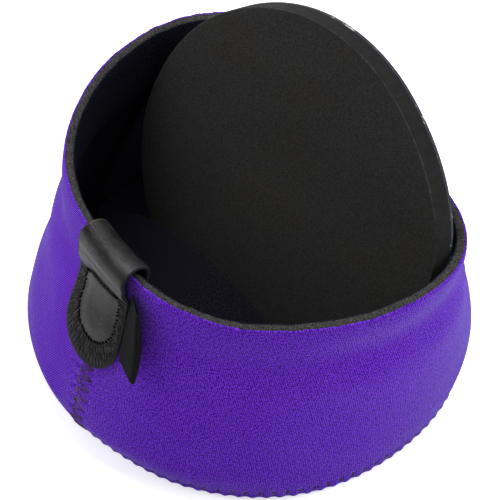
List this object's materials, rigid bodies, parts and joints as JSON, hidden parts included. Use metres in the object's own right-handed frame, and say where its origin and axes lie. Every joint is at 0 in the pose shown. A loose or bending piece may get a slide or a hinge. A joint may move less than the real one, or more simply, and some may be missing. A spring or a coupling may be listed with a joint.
{
  "type": "lens hood cover",
  "caption": "Soft neoprene cap for a large lens hood, with a leather pull tab on its mouth, a folded label, and a stiff foam disc that lifts out of an inner pocket.",
  "frame": {"origin": "centre of the flat underside of the closed end, which the cover rests on", "axes": "+Z from the closed end up to the mouth; -Y towards the side seam and the pull tab; +X to the tab's right as seen from outside, the side that the label is on"},
  "size_m": [0.1737, 0.1774, 0.1398],
  "materials": {
    "jersey": "purple nylon jersey",
    "neoprene_foam": "dark grey closed cell foam, cut edge",
    "lining": "black jersey",
    "thread": "dark twisted thread",
    "tab_leather": "smooth black leather, satin",
    "tab_thread": "dense black zigzag thread",
    "label_ribbon": "woven black ribbon",
    "pad_foam": "matt black foam",
    "plate_plastic": "thin dark plastic sheet"
  },
  "bodies": {
    "cover": {"side_wall_jersey": "jersey", "side_wall_foam": "neoprene_foam", "side_wall_lining": "lining", "front_panel_jersey": "jersey", "front_panel_foam": "neoprene_foam", "front_panel_lining": "lining", "disc_pocket": "lining", "side_seam_thread": "thread", "front_seam_thread": "thread", "pull_tab": "tab_leather", "tab_stitching_outer": "tab_thread", "tab_stitching_inner": "tab_thread"},
    "label": {"woven_label": "label_ribbon"},
    "disc": {"disc_foam_pad": "pad_foam", "disc_plate": "plate_plastic"}
  },
  "joints": [
    {"name": "disc_lift", "type": "slide", "parent": "cover", "child": "disc", "axis": [-0.0307, 0.2941, 0.9553], "range_m": [0, 0.105]},
    {"name": "label_flap", "type": "hinge", "parent": "cover", "child": "label", "pos_m": [0.01341, -0.07533, 0.0698], "axis": [0.0912, -0.2861, -0.9539], "range_deg": [-12, 55]}
  ]
}
